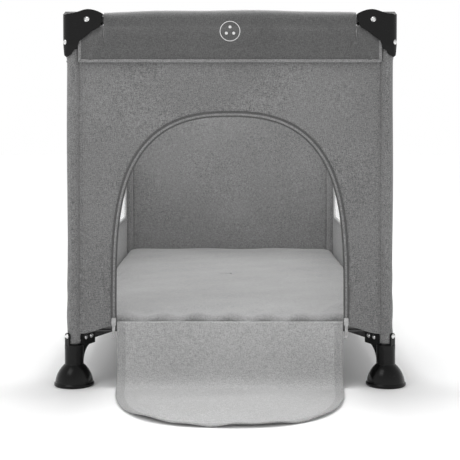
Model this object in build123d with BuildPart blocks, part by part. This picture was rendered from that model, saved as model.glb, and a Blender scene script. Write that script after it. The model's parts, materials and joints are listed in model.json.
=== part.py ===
from build123d import *
import os
from math import atan2, cos, degrees, hypot, pi, radians, sin

os.makedirs("parts", exist_ok=True)

# A folding travel playpen. The origin is on the floor midway between the four posts, +Z is up,
# and the end with the arched door faces -Y. Sizes are in millimetres.
#
# The frame folds because every half rail and every base bar turns by one and the same angle:
# seen from above, each bar spans what a short and a long half rail span together.

# ---- Driving sizes ----
span_x = 633.0                # post axis to post axis, across the door end
span_y = 1200.0               # post axis to post axis, along a side
height = 760.0                # floor to the top of the corner caps

post_diameter = 22.0
rail_diameter = 18.0
tube_wall = 1.2
bar_width = 20.0
bar_height = 18.0
bar_axis_z = 94.5             # floor to the base bars' axes
pin_diameter = 6.0            # every hinge pin
screw_diameter = 5.0          # cap screws, foot screws and rivets

pivot_inset = 29.0            # post axis to a half rail's hinge in the cap
latch_half_pitch = 30.0       # a latch's middle to each of its two hinges
foot_arm = 42.0               # post axis to a base bar's hinge in the foot
rail_drop = 20.0              # cap top to the rails' axes

cap_wall = 9.5                # plastic outside the post, in a corner cap
cap_skin = 2.0                # plastic over a rail, at the end of a cap's arm
cap_arm = 31.5                # rail hinge to the end of a cap's arm
cap_shoulder = 19.0           # cap top down to the outer corner's top
foot_radius = 40.5
foot_neck = 8.0               # plastic outside the post, in a foot
cheek = 4.0                   # plastic either side of a hinge, in the feet, hub and latches
cloth = 2.5                   # a fabric wall with its seams
sleeve_cloth = 2.6            # the padded sleeve around a post
cover_depth = 105.0           # cap top to the lower edge of a rail cover
mattress_thickness = 25.0
floor_z = 109.0               # underside of the fabric floor panel

door_hinge_z = 130.0          # hem on which the door flap hangs
arch_half_width = 240.0       # outside of the zip
arch_height = 424.0           # door hinge to the top of the zip
zip_width = 10.0
door_bend_radius = 50.0       # where the open flap turns to lie on the floor
window_sill_z = 242.0         # lower edge of the mesh windows
window_margin = 42.0          # fabric beyond each end of a window
button_length = 24.0
button_width = 14.0
button_travel = 5.0

# ---- Clearances ----
play = 0.5                    # beside and around pieces that turn or slide
snug = 0.1                    # around pins, posts and screws in their holes
seat = 0.2                    # between fabric edges that meet
hang = 2.0                    # between soft pieces and what they hang beside

# ---- Places that follow ----
post_x = span_x / 2
post_y = span_y / 2
post_radius = post_diameter / 2
rail_radius = rail_diameter / 2
pin_radius = pin_diameter / 2
screw_radius = screw_diameter / 2
eye_radius = bar_height / 2   # rounded end of a base bar
rail_z = height - rail_drop
cap_half = post_radius + cap_wall
cap_reach = pivot_inset + cap_arm
cap_screw_z = height - 65.5
neck_radius = post_radius + foot_neck
collar_z = bar_axis_z - 10.5
foot_rivet_z = bar_axis_z + 6.5
sleeve_inner = post_radius + snug + seat
sleeve_radius = sleeve_inner + sleeve_cloth
latch_half = rail_radius + play + cheek
cover_inner = latch_half + 2 * play
cover_half = cover_inner + cloth
wall_top = height - 70.0
wall_foot = floor_z - 1.0
wall_face = 4.5               # post axis out to the inner face of a fabric wall
wall_back = wall_face + cloth

# ---- Folding geometry ----
half_rail_x = post_x - pivot_inset - latch_half_pitch
half_rail_y = post_y - pivot_inset - latch_half_pitch
bar_length = hypot(half_rail_x, half_rail_y)
bar_turn = atan2(half_rail_y, half_rail_x)
bar_end = pivot_inset + latch_half_pitch
hub_x = bar_end - foot_arm * cos(bar_turn)
hub_y = bar_end - foot_arm * sin(bar_turn)

CORNERS = {
    "front_left": (-1, -1),
    "front_right": (1, -1),
    "rear_right": (1, 1),
    "rear_left": (-1, 1),
}
UP = Align.CENTER, Align.CENTER, Align.MIN


def side_plane(origin, along):
    """The upright plane through a hinge: X runs along the piece, Y up, the normal is the axis."""
    return Plane(origin=origin, x_dir=along, z_dir=Vector(along).cross(Vector(0, 0, 1)))


def on(plane, x, y=0.0, z=0.0):
    """A place given in a plane's own coordinates."""
    return plane.location * Pos(x, y, z)


# A corner's pieces are drawn around a post at the origin, with +X and +Y inward.
BAR = side_plane((0, 0, bar_axis_z), (cos(bar_turn), sin(bar_turn), 0))
RAIL_X = side_plane((pivot_inset, 0, rail_z), (1, 0, 0))
RAIL_Y = side_plane((0, pivot_inset, rail_z), (0, 1, 0))


def outward(z):
    """The upright plane on the post's axis that faces out of the corner."""
    return Plane(origin=(0, 0, z), x_dir=(0, 0, 1), z_dir=(-1, -1, 0))


def save(piece, name):
    """Label a finished piece and write it under its own name."""
    piece.part.label = name
    export_step(piece.part, f"parts/{name}.step")


def to_corner(shape, corner):
    """Carry a corner's piece to its place in one corner, as its mirror image where needed."""
    side_x, side_y = CORNERS[corner]
    moved = Pos(-post_x, -post_y, 0) * shape
    if side_x > 0:
        moved = mirror(moved, about=Plane.YZ, mode=Mode.PRIVATE)
    if side_y > 0:
        moved = mirror(moved, about=Plane.XZ, mode=Mode.PRIVATE)
    return moved


def save_at_corners(shape, name):
    """Write a corner's piece in each of the four corners."""
    for corner in CORNERS:
        with BuildPart() as placed:
            add(to_corner(shape, corner))
        save(placed, f"{name}_{corner}")


# ---- Posts and their fabric sleeves ----
post_foot_z = 30.0
with BuildPart() as post:
    with BuildSketch(Plane.XY.offset(post_foot_z)):
        Circle(post_radius)
        Circle(post_radius - tube_wall, mode=Mode.SUBTRACT)
    extrude(amount=rail_z - post_foot_z)
    with Locations(outward(cap_screw_z), outward(foot_rivet_z)):
        Cylinder(screw_radius + snug, 2 * post_radius, align=UP, mode=Mode.SUBTRACT)

with BuildPart() as sleeve:
    with BuildSketch(Plane.XY.offset(collar_z + hang)):
        Circle(sleeve_radius)
        Circle(sleeve_inner, mode=Mode.SUBTRACT)
    extrude(amount=wall_top - collar_z - hang)
    with Locations(outward(foot_rivet_z)):
        Cylinder(screw_radius + play, 2 * sleeve_radius, align=UP, mode=Mode.SUBTRACT)

save_at_corners(post.part, "post")
save_at_corners(sleeve.part, "post_sleeve")


# ---- Corner caps ----
def cap_profile(plane):
    """A corner cap's outline seen square to one arm, with the post's axis at X = 0."""
    arm_top = rail_z + rail_radius + play + cap_skin
    arm_low = rail_z - rail_radius - play
    shoulder = (-cap_half, height - cap_shoulder)
    with BuildSketch(plane) as profile:
        with BuildLine():
            Spline(shoulder, (-cap_half + 4.5, height - 11.5), (0, height - 8),
                   (pivot_inset, height), (cap_reach - 8, arm_top + 4), (cap_reach, arm_top))
            Polyline((cap_reach, arm_top), (cap_reach - 3, arm_low), (cap_reach - 8, arm_low - 7),
                     (pivot_inset + 10, height - 44), (cap_half - 6, height - 63),
                     (cap_half - 12, height - 79), (cap_half - 17, height - 81),
                     (-2, height - 90), (-cap_half + 8, height - 96),
                     (-cap_half + 3.5, height - 92), (-cap_half + 1, height - 72), shoulder)
        make_face()
        fillet([v for v in profile.vertices() if v.Y < arm_low - 1], 1.8)
    return profile.sketch


with BuildPart() as cap_along_y:
    extrude(cap_profile(Plane.YZ), amount=2 * cap_reach, both=True)
with BuildPart() as cap_crown:
    for arm_plane in (Plane.XZ, Plane.YZ):
        extrude(cap_profile(arm_plane), amount=cap_half, both=True)
    with Locations((0, 0, height - cap_shoulder)):
        Box(4 * cap_reach, 4 * cap_reach, 2 * cap_shoulder, align=UP, mode=Mode.INTERSECT)
with BuildPart() as cap:
    extrude(cap_profile(Plane.XZ), amount=2 * cap_reach, both=True)
    add(cap_along_y.part, mode=Mode.INTERSECT)
    add(cap_crown.part)
    with BuildSketch(Plane.XY) as cap_plan:
        with Locations((-cap_half, -cap_half)):
            Rectangle(cap_half + cap_reach, 2 * cap_half, align=(Align.MIN, Align.MIN))
            Rectangle(2 * cap_half, cap_half + cap_reach, align=(Align.MIN, Align.MIN))
        fillet(cap_plan.vertices().sort_by_distance((-cap_half, -cap_half, 0))[0], cap_half - 2.5)
        fillet(cap_plan.vertices().sort_by_distance((cap_half, cap_half, 0))[0], 6)
    extrude(amount=height + 1, mode=Mode.INTERSECT)
    Cylinder(post_radius + snug, rail_z + snug, align=UP, mode=Mode.SUBTRACT)
    Cylinder(sleeve_radius + play, wall_top + hang, align=UP, mode=Mode.SUBTRACT)
    for rail in (RAIL_X, RAIL_Y):
        with Locations(on(rail, -rail_radius - 2 * play, rail_radius + play)):
            Box(2 * cap_reach, height, rail_diameter + 2 * play, mode=Mode.SUBTRACT,
                align=(Align.MIN, Align.MAX, Align.CENTER))
        with Locations(on(rail, 0)):
            Cylinder(pin_radius + snug, 3 * cap_half, mode=Mode.SUBTRACT)
    with Locations(outward(cap_screw_z)):
        Cylinder(screw_radius + snug, 2 * cap_half, align=UP, mode=Mode.SUBTRACT)

save_at_corners(cap.part, "corner_cap")

# ---- Feet: a bell, a collar around the post, a tab outside the sleeve, a fork for the bar ----
fork_inner = bar_width / 2 + play
fork_half = fork_inner + cheek
fork_floor = -eye_radius - play             # from the bar's axis
fork_low = fork_floor - 7
fork_top = eye_radius + play
fork_end = foot_arm + eye_radius + 5
fork_back = foot_arm - eye_radius - 2 * play
foot_screw_s = (sleeve_radius + play + fork_back) / 2 - 1
tab_width = 13.0
flange_edge = 8.0                           # top of the bell's flange
bell_top = 43.0
bell_middle = 29.0
tab_inner = sleeve_radius + play

with BuildPart() as foot:
    with BuildSketch(Plane.XZ):
        with BuildLine():
            Polyline((0, 0), (foot_radius - 2, 0), (foot_radius, 2), (foot_radius, 5),
                     (foot_radius - 2.5, flange_edge))
            ThreePointArc((foot_radius - 2.5, flange_edge), (neck_radius + 12, bell_middle),
                          (neck_radius, bell_top))
            Polyline((neck_radius, bell_top), (neck_radius, collar_z - 2), (neck_radius - 2, collar_z),
                     (0, collar_z), (0, 0))
        make_face()
    revolve(axis=Axis.Z)
    with BuildSketch(BAR) as arm_side:
        with Locations((0, fork_low)):
            Rectangle(fork_end, fork_top - fork_low, align=(Align.MIN, Align.MIN))
        fillet(arm_side.vertices().sort_by_distance(on(BAR, fork_end).position)[:2], 5)
    extrude(amount=fork_half, both=True)
    with BuildSketch(BAR):
        with BuildLine():
            web_foot = bell_top - 1 - bar_axis_z
            Polyline((fork_end - 6, fork_low + 1), (0, fork_low + 1), (0, web_foot),
                     (neck_radius, web_foot))
            ThreePointArc((neck_radius, web_foot), (neck_radius + 7, (web_foot + fork_low) / 2 + 6),
                          (fork_end - 6, fork_low + 1))
        make_face()
    extrude(amount=fork_inner, both=True)
    with BuildSketch(outward(0).offset(tab_inner)):
        with Locations((collar_z - 10, 0)):
            Rectangle(foot_rivet_z - collar_z + 10, tab_width, align=(Align.MIN, Align.CENTER))
        with Locations((foot_rivet_z, 0)):
            Circle(tab_width / 2)
    extrude(amount=cheek)
    with Locations((0, 0, post_foot_z)):
        Cylinder(post_radius + snug, height, align=UP, mode=Mode.SUBTRACT)
    with Locations((0, 0, collar_z)):
        Cylinder(sleeve_radius + play, height, align=UP, mode=Mode.SUBTRACT)
    with Locations(on(BAR, fork_back, fork_floor)):
        Box(foot_arm, height, 2 * fork_inner, mode=Mode.SUBTRACT,
            align=(Align.MIN, Align.MIN, Align.CENTER))
    with Locations(on(BAR, foot_arm)):
        Cylinder(pin_radius + snug, 4 * fork_half, mode=Mode.SUBTRACT)
    with Locations(on(BAR, foot_screw_s)):
        Cylinder(screw_radius + snug, 4 * fork_half, mode=Mode.SUBTRACT)
    with Locations(outward(foot_rivet_z)):
        Cylinder(screw_radius + snug, 3 * tab_inner, align=UP, mode=Mode.SUBTRACT)

save_at_corners(foot.part, "foot")


# ---- Corner fasteners: two rail pins, the cap screw, the foot's rivet, screw and bar pin ----
pin_head = 2.4


def headed(place, radius, low, high):
    """A pin between two depths along a place's Z, with a head on its outer end."""
    with Locations(place):
        with Locations((0, 0, low)):
            Cylinder(radius, high - low, align=UP)
        with Locations((0, 0, high)):
            Cone(radius + pin_head, radius, pin_head, align=UP)


with BuildPart() as fasteners:
    for rail in (RAIL_X, RAIL_Y):
        place = rail if rail is RAIL_X else Plane(rail.origin, x_dir=rail.x_dir, z_dir=-rail.z_dir)
        headed(place, pin_radius, -cap_half, cap_half)
    headed(outward(cap_screw_z), screw_radius, post_radius - tube_wall - 1, cap_half + 1.2)
    headed(outward(foot_rivet_z), screw_radius, post_radius - tube_wall - 1, tab_inner + cheek)
    headed(Plane(on(BAR, foot_arm)), pin_radius, -fork_half, fork_half)
    headed(Plane(on(BAR, foot_screw_s)), screw_radius, -fork_half, fork_half)

save_at_corners(fasteners.part, "corner_fasteners")


# ---- Half rails: a tube with an eye fitting in each end ----
eye_neck = 27.0               # hinge to the end of an eye fitting, inside its tube


def eye_positions(length):
    """The two hinges of a bar that starts at the origin, and the way inward from each."""
    return ((0, 1), (length, -1))


def half_rail(length):
    """A top rail's half along +X, hinged at the origin and at its far end about Y."""
    tube_start = rail_radius + play
    with BuildPart() as rail:
        with BuildSketch(Plane.YZ.offset(tube_start)):
            Circle(rail_radius)
            Circle(rail_radius - tube_wall, mode=Mode.SUBTRACT)
        extrude(amount=length - 2 * tube_start)
        for place, inward in eye_positions(length):
            with Locations((place, 0, 0)):
                Cylinder(rail_radius, rail_diameter - 2, rotation=(90, 0, 0))
            with BuildSketch(Plane.YZ.offset(place)):
                Circle(rail_radius - tube_wall - snug)
            extrude(amount=inward * eye_neck)
            with Locations((place, 0, 0)):
                Cylinder(pin_radius + snug, 2 * rail_diameter, rotation=(90, 0, 0),
                         mode=Mode.SUBTRACT)
    return rail.part


short_rail = half_rail(half_rail_x)
long_rail = half_rail(half_rail_y)
for corner in CORNERS:
    end, side = corner.split("_")
    with BuildPart() as end_rail:
        add(to_corner(Pos(pivot_inset, 0, rail_z) * short_rail, corner))
    save(end_rail, f"half_rail_{end}_{side}")
    with BuildPart() as side_rail:
        add(to_corner(Pos(0, pivot_inset, rail_z) * Rot(0, 0, 90) * long_rail, corner))
    save(side_rail, f"half_rail_{side}_{end}")

# ---- Base bars: a rectangular tube with an eye fitting in each end ----
with BuildPart() as bar:
    tube_start = eye_radius + play
    with BuildSketch(Plane.YZ.offset(tube_start)) as bar_section:
        RectangleRounded(bar_width, bar_height, 2)
        RectangleRounded(bar_width - 2 * tube_wall, bar_height - 2 * tube_wall, 0.8,
                         mode=Mode.SUBTRACT)
    extrude(amount=bar_length - 2 * tube_start)
    for place, inward in eye_positions(bar_length):
        with Locations((place, 0, 0)):
            Cylinder(eye_radius, bar_width, rotation=(90, 0, 0))
        with BuildSketch(Plane.YZ.offset(place)):
            RectangleRounded(bar_width - 2 * (tube_wall + snug),
                             bar_height - 2 * (tube_wall + snug), 0.8)
        extrude(amount=inward * eye_neck)
        with Locations((place, 0, 0)):
            Cylinder(pin_radius + snug, 2 * bar_width, rotation=(90, 0, 0), mode=Mode.SUBTRACT)

save_at_corners(on(BAR, foot_arm) * Rot(-90, 0, 0) * bar.part, "base_bar")

# ---- Hub: a plate over the bars' ends, a fork for each bar, and a centre foot ----
hub_top = floor_z - 1.0
hub_column = 17.0
hub_foot = hub_column + 5
bar_far_end = foot_arm + bar_length
with BuildPart() as hub_fork:
    with Locations(on(BAR, bar_far_end, -eye_radius)):
        Box(2 * eye_radius + 6, hub_top - bar_axis_z + eye_radius, 2 * fork_half,
            align=(Align.CENTER, Align.MIN, Align.CENTER))
    with Locations(on(BAR, bar_far_end, fork_top)):
        Box(4 * eye_radius, 2 * bar_height, 2 * fork_inner, mode=Mode.SUBTRACT,
            align=(Align.CENTER, Align.MAX, Align.CENTER))
    with Locations(on(BAR, bar_far_end)):
        Cylinder(pin_radius + snug, 4 * fork_half, mode=Mode.SUBTRACT)

with BuildPart() as hub:
    for corner in CORNERS:
        add(to_corner(hub_fork.part, corner))
    with Locations((0, 0, hub_top)):
        Box(2 * hub_x, 2 * hub_y, hub_top - bar_axis_z - fork_top,
            align=(Align.CENTER, Align.CENTER, Align.MAX))
    Cylinder(hub_column, hub_top, align=UP)
    Cylinder(hub_foot, 6, align=UP)
    fillet(hub.faces().sort_by(Axis.Z)[0].edges(), 1.5)
save(hub, "hub")

with BuildPart() as hub_pin:
    with Locations(on(BAR, bar_far_end)):
        Cylinder(pin_radius, 2 * fork_half)
with BuildPart() as hub_pins:
    for corner in CORNERS:
        add(to_corner(hub_pin.part, corner))
save(hub_pins, "hub_pins")

# ---- The four sides: pieces drawn along X with -Y outward, at their side's post line ----
SIDES = {
    "front": Pos(0, -post_y, 0),
    "rear": Pos(0, post_y, 0) * Rot(0, 0, 180),
    "left": Pos(-post_x, 0, 0) * Rot(0, 0, -90),
    "right": Pos(post_x, 0, 0) * Rot(0, 0, 90),
}
HALF_SPAN = {"front": post_x, "rear": post_x, "left": post_y, "right": post_y}


def save_on_side(shape, side, name):
    """Write a side's piece in its place."""
    with BuildPart() as placed:
        add(SIDES[side] * shape)
    save(placed, name)


# ---- Latches: a trough that holds both half rails' hinges, and its release button ----
latch_end = latch_half_pitch + rail_radius + 5
latch_low = rail_z - rail_radius - play - cheek
trough_start = latch_half_pitch - rail_radius - 2 * play
flange = 2.0
chamber_floor = latch_low + cheek - 1
chamber_top = chamber_floor + seat + flange + button_travel + play

with BuildPart() as latch:
    with Locations((0, 0, latch_low)):
        Box(2 * latch_end, 2 * latch_half, rail_z + rail_radius - latch_low, align=UP)
    lower_ends = latch.faces().sort_by(Axis.Z)[0].edges().filter_by(Axis.Y)
    fillet(lower_ends, cheek)
    for direction in (-1, 1):
        with Locations(Pos(direction * trough_start, 0, rail_z - rail_radius - play)):
            Box(latch_end, 2 * (rail_radius + play), height, mode=Mode.SUBTRACT,
                align=(Align.MIN if direction > 0 else Align.MAX, Align.CENTER, Align.MIN))
        with Locations((direction * latch_half_pitch, 0, rail_z)):
            Cylinder(pin_radius + snug, 3 * latch_half, rotation=(90, 0, 0), mode=Mode.SUBTRACT)
    with Locations((0, 0, chamber_top)):
        Box(button_length + 2 * play, button_width + 2 * play, height, mode=Mode.SUBTRACT,
            align=(Align.CENTER, Align.CENTER, Align.MAX))
    with Locations((0, 0, chamber_floor)):
        Box(button_length + 2 * (flange + play), button_width + 2 * (flange + play),
            chamber_top - chamber_floor, mode=Mode.SUBTRACT, align=UP)
    with Locations((-latch_half_pitch, 0, rail_z), (latch_half_pitch, 0, rail_z)):
        Cylinder(pin_radius, 2 * latch_half, rotation=(90, 0, 0))

with BuildPart() as button:
    with Locations((0, 0, latch_low - button_travel - play)):
        Box(button_length, button_width, chamber_floor - latch_low + button_travel + 2 * play,
            align=UP)
    fillet(button.faces().sort_by(Axis.Z)[0].edges(), 1.5)
    with Locations((0, 0, chamber_floor + seat)):
        Box(button_length + 2 * flange, button_width + 2 * flange, flange, align=UP)

# ---- Padded covers over the rails ----
cover_low = height - cover_depth
cover_roof = rail_z + rail_radius + 3 * play


def rail_cover(half_length):
    """A channel of padded fabric that hangs over a rail and its latch."""
    with BuildPart() as cover:
        with Locations((0, 0, cover_low)):
            Box(2 * half_length, 2 * cover_half, height - cover_low, align=UP)
        fillet(cover.faces().sort_by(Axis.Z)[-1].edges().filter_by(Axis.X), 7)
        with Locations((0, 0, cover_roof)):
            Box(3 * half_length, 2 * cover_inner, height, mode=Mode.SUBTRACT,
                align=(Align.CENTER, Align.CENTER, Align.MAX))
    return cover.part


for side, half_span in HALF_SPAN.items():
    save_on_side(latch.part, side, f"latch_{side}")
    save_on_side(button.part, side, f"latch_button_{side}")
    save_on_side(rail_cover(half_span - cap_reach - hang), side, f"rail_cover_{side}")


# ---- Fabric walls ----
def wall_plane(z):
    """The inner face of a side's wall, with its normal outward, at height z."""
    return Plane(origin=(0, -wall_face, z), x_dir=(1, 0, 0), z_dir=(0, -1, 0))


def wall_half(half_span):
    """A wall ends just short of the sleeves around its two posts."""
    return half_span - sleeve_radius - play


def arch(inset):
    """The door's outline, a superellipse standing on its hinge, inset from the zip's outside."""
    wide = arch_half_width - inset
    tall = arch_height - inset
    turns = [radians(step * 9) for step in range(10)]
    right = [(wide * cos(turn) ** 0.8, tall * sin(turn) ** 0.55) for turn in turns]
    left = [(-x, z) for x, z in reversed(right)]
    with BuildSketch() as outline:
        with BuildLine():
            Spline(*right, (0, tall), *left, tangents=((0, 1), (0, -1)))
            Line((-wide, 0), (wide, 0))
        make_face()
    return outline.sketch


with BuildPart() as front_wall:
    with BuildSketch(wall_plane(wall_foot)):
        Rectangle(2 * wall_half(post_x), wall_top - wall_foot, align=(Align.CENTER, Align.MIN))
    extrude(amount=cloth)
    with BuildSketch(wall_plane(door_hinge_z)):
        add(arch(-seat))
        Rectangle(2 * (arch_half_width + seat), cloth + 2 * seat)
    extrude(amount=cloth, mode=Mode.SUBTRACT)
save_on_side(front_wall.part, "front", "front_wall")

with BuildPart() as rear_wall:
    with BuildSketch(wall_plane(wall_foot)):
        Rectangle(2 * wall_half(post_x), wall_top - wall_foot, align=(Align.CENTER, Align.MIN))
    extrude(amount=cloth)
save_on_side(rear_wall.part, "rear", "rear_wall")

window_half = wall_half(post_y) - window_margin
window_top = cover_low - 15
with BuildPart() as side_wall:
    with BuildSketch(wall_plane(wall_foot)):
        Rectangle(2 * wall_half(post_y), wall_top - wall_foot, align=(Align.CENTER, Align.MIN))
    extrude(amount=cloth)
    with BuildSketch(wall_plane((window_sill_z + window_top) / 2)):
        RectangleRounded(2 * window_half, window_top - window_sill_z, 25)
    extrude(amount=cloth, mode=Mode.SUBTRACT)
with BuildPart() as window_mesh:
    with BuildSketch(wall_plane((window_sill_z + window_top) / 2).offset(cloth / 3)):
        RectangleRounded(2 * (window_half - seat), window_top - window_sill_z - 2 * seat, 25 - seat)
    extrude(amount=cloth / 3)
for side in ("left", "right"):
    save_on_side(side_wall.part, side, f"{side}_wall")
    save_on_side(window_mesh.part, side, f"{side}_window_mesh")

# ---- Floor panel and mattress, notched around the posts ----
with BuildPart() as floor_panel:
    with BuildSketch(Plane.XY.offset(floor_z)):
        Rectangle(2 * (post_x + wall_face - play), 2 * (post_y + wall_face - play))
        with GridLocations(span_x, span_y, 2, 2):
            Circle(sleeve_radius + play, mode=Mode.SUBTRACT)
    extrude(amount=cloth)
save(floor_panel, "floor_panel")

with BuildPart() as mattress:
    with BuildSketch(Plane.XY.offset(floor_z + cloth + seat)):
        Rectangle(2 * (post_x + wall_face - 2 * hang), 2 * (post_y + wall_face - 2 * hang))
        with GridLocations(span_x, span_y, 2, 2):
            Circle(sleeve_radius + 2 * hang, mode=Mode.SUBTRACT)
    extrude(amount=mattress_thickness)
    fillet(mattress.faces().sort_by(Axis.Z)[-1].edges(), 5)
save(mattress, "mattress")

# ---- Door: its zip, and a flap in three lengths that hangs, bends and lies on the floor ----
with BuildPart() as door_zip:
    with BuildSketch(wall_plane(door_hinge_z)):
        add(arch(0))
        add(arch(zip_width), mode=Mode.SUBTRACT)
    extrude(amount=cloth)
save_on_side(door_zip.part, "front", "door_zip")

door_inset = zip_width + 1.5
door_axis_y = -wall_back - seat / 2
door_back = door_axis_y - seat / 2
bend_y = door_back - cloth / 2 - door_bend_radius
bend_z = cloth / 2 + door_bend_radius
flat_start = door_hinge_z - bend_z + pi / 2 * door_bend_radius
door_half = (arch_half_width - door_inset) * (1 - (flat_start / arch_height) ** 3.65) ** 0.4


def door_bend(start, turn):
    """The section of a stretch of the flap's bend, seen from the side."""
    with BuildSketch(Plane.YZ.offset(-door_half)) as section:
        with BuildLine():
            outside = CenterArc((bend_y, bend_z), door_bend_radius + cloth / 2, start, turn)
            inside = CenterArc((bend_y, bend_z), door_bend_radius - cloth / 2, start, turn)
            Line(outside @ 0, inside @ 0)
            Line(outside @ 1, inside @ 1)
        make_face()
    return section.sketch


with BuildPart() as door_upper:
    with Locations((0, door_back, bend_z)):
        Box(2 * door_half, cloth, door_hinge_z - bend_z,
            align=(Align.CENTER, Align.MAX, Align.MIN))
    with Locations((0, door_axis_y, door_hinge_z)):
        Cylinder(cloth / 2, 2 * door_half, rotation=(0, 90, 0))
    extrude(door_bend(0, -22.5), amount=2 * door_half)
save_on_side(door_upper.part, "front", "door_upper")

with BuildPart() as door_middle:
    extrude(door_bend(-22.5, -45), amount=2 * door_half)
save_on_side(door_middle.part, "front", "door_bend")

with BuildPart() as door_tip:
    extrude(door_bend(-67.5, -22.5), amount=2 * door_half)
    flap_plane = Plane(origin=(0, bend_y + flat_start, 0), x_dir=(1, 0, 0), z_dir=(0, 0, -1))
    with BuildSketch(flap_plane):
        add(arch(door_inset))
        Rectangle(4 * arch_half_width, 2 * flat_start, mode=Mode.SUBTRACT)
    extrude(amount=-cloth)
save_on_side(door_tip.part, "front", "door_tip")

# ---- Zip sliders, one from each end of the arch ----
slider_x = arch_half_width - zip_width / 2
slider_back = -wall_back - 2 * seat
slider_thick = 5.0
slider_length = 16.0
tab_thick = 1.6
tab_length = 28.0
with BuildPart() as slider:
    with Locations((0, slider_back, door_hinge_z)):
        Box(zip_width - 1, slider_thick, slider_length, align=(Align.CENTER, Align.MAX, Align.CENTER))
    fillet(slider.edges().filter_by(Axis.Y), 2)
    with Locations((0, slider_back - slider_thick + tab_thick, door_hinge_z - slider_length / 4)):
        Box(zip_width - 4, tab_thick, tab_length, align=(Align.CENTER, Align.MAX, Align.MAX))
for side, side_x in (("left", -1), ("right", 1)):
    save_on_side(Pos(side_x * slider_x, 0, 0) * slider.part, "front", f"zip_slider_{side}")
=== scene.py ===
import json
import bmesh
import bpy
import numpy as np
from contextlib import contextmanager
from math import cos, pi, radians, sin
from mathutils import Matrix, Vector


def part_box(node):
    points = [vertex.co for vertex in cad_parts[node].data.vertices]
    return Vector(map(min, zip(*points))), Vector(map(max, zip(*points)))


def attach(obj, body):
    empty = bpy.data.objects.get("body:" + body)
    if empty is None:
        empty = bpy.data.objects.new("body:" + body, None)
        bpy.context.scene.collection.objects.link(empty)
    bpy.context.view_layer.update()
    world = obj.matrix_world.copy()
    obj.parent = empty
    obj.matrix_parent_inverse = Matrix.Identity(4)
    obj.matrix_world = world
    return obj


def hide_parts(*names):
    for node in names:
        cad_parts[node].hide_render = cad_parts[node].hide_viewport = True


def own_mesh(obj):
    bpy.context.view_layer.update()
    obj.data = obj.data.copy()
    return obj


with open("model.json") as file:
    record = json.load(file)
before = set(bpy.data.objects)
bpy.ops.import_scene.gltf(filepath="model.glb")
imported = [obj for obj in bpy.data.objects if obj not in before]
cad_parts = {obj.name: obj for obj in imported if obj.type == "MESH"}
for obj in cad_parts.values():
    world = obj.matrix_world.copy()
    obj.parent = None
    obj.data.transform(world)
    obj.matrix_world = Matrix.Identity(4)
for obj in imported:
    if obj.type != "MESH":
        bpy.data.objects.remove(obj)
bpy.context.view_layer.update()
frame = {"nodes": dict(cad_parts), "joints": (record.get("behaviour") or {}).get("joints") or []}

# A folding playpen, in metres, in the CAD frame: +Z up, the end with the arched door faces -Y.
# Soft pieces are drawn on their side (X along it, -Y outward) and then turned to that side.

# ---- Places read from the frame ----
POST_LOW, POST_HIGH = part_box("post_front_right")
POST_X = (POST_LOW[0] + POST_HIGH[0]) / 2
POST_Y = -(POST_LOW[1] + POST_HIGH[1]) / 2
SLEEVE_LOW, SLEEVE_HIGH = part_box("post_sleeve_front_right")
SLEEVE_RADIUS = (SLEEVE_HIGH[0] - SLEEVE_LOW[0]) / 2
WALL_LOW, WALL_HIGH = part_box("front_wall")
WALL_OUT = -(WALL_LOW[1] + POST_Y)            # post line to a wall's outer face
WALL_IN = -(WALL_HIGH[1] + POST_Y)
ZIP_LOW, ZIP_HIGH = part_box("door_zip")
COVER_LOW, COVER_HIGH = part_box("rail_cover_front")
COVER_SIDE_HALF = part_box("rail_cover_left")[1][1]
COVER_HALF_WIDTH = -(COVER_LOW[1] + POST_Y)
LATCH_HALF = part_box("latch_front")[1][0]
FLAP_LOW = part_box("door_tip")[0]
WINDOW_LOW, WINDOW_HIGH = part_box("left_window_mesh")
MATTRESS_LOW, MATTRESS_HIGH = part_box("mattress")
JOINTS = {joint["name"]: joint for joint in frame["joints"]}
FOLD_ANGLE = radians(JOINTS["fold"]["range_deg"][1])
DOOR_Z = ZIP_LOW[2]
ARCH_HALF = ZIP_HIGH[0]
ARCH_TALL = ZIP_HIGH[2] - ZIP_LOW[2]
HALF_SPAN = {"front": POST_X, "rear": POST_X, "left": POST_Y, "right": POST_Y}
SIDE_BODY = {"front": "corner_front_left", "rear": "corner_rear_left",
             "left": "corner_front_left", "right": "corner_front_right"}
CORNERS = {"front_left": (-1, -1), "front_right": (1, -1), "rear_right": (1, 1), "rear_left": (-1, 1)}


def hinge_place(joint):
    """Where a hinge's axis stands, in the row frame."""
    return np.array(JOINTS[joint]["pos_m"], float)


def folded_keep(half_span, rail_joint, axis):
    """What is left of the way between two posts when the frame is folded."""
    inset = half_span - abs(hinge_place(rail_joint)[axis])
    latch = abs(hinge_place("latch_front_turn")[0])
    rail = half_span - inset - latch
    return (inset + latch + rail * cos(FOLD_ANGLE)) / half_span


KEEP_X = folded_keep(POST_X, "half_rail_front_left_turn", 0)
KEEP_Y = folded_keep(POST_Y, "half_rail_left_front_turn", 1)


# ---- Geometry helpers ----
@contextmanager
def editing(mesh):
    """A mesh opened for editing, and written back afterwards."""
    bm = bmesh.new()
    bm.from_mesh(mesh)
    yield bm
    bm.to_mesh(mesh)
    bm.free()


def place(points, side):
    """Turn points drawn on a side to where that side stands."""
    x, y, z = np.moveaxis(np.asarray(points, float), -1, 0)
    turned = {
        "front": (x, y - POST_Y, z),
        "rear": (-x, POST_Y - y, z),
        "left": (y - POST_X, -x, z),
        "right": (POST_X - y, x, z),
    }[side]
    return np.stack(turned, axis=-1)


def smooth(value, low, high):
    """0 below low, 1 above high, and an even ease between."""
    t = np.clip((value - low) / (high - low), 0, 1)
    return t * t * (3 - 2 * t)


def bump(value, middle, width):
    """A bell of height 1 about a middle."""
    return np.exp(-((value - middle) / width) ** 2)


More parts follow.
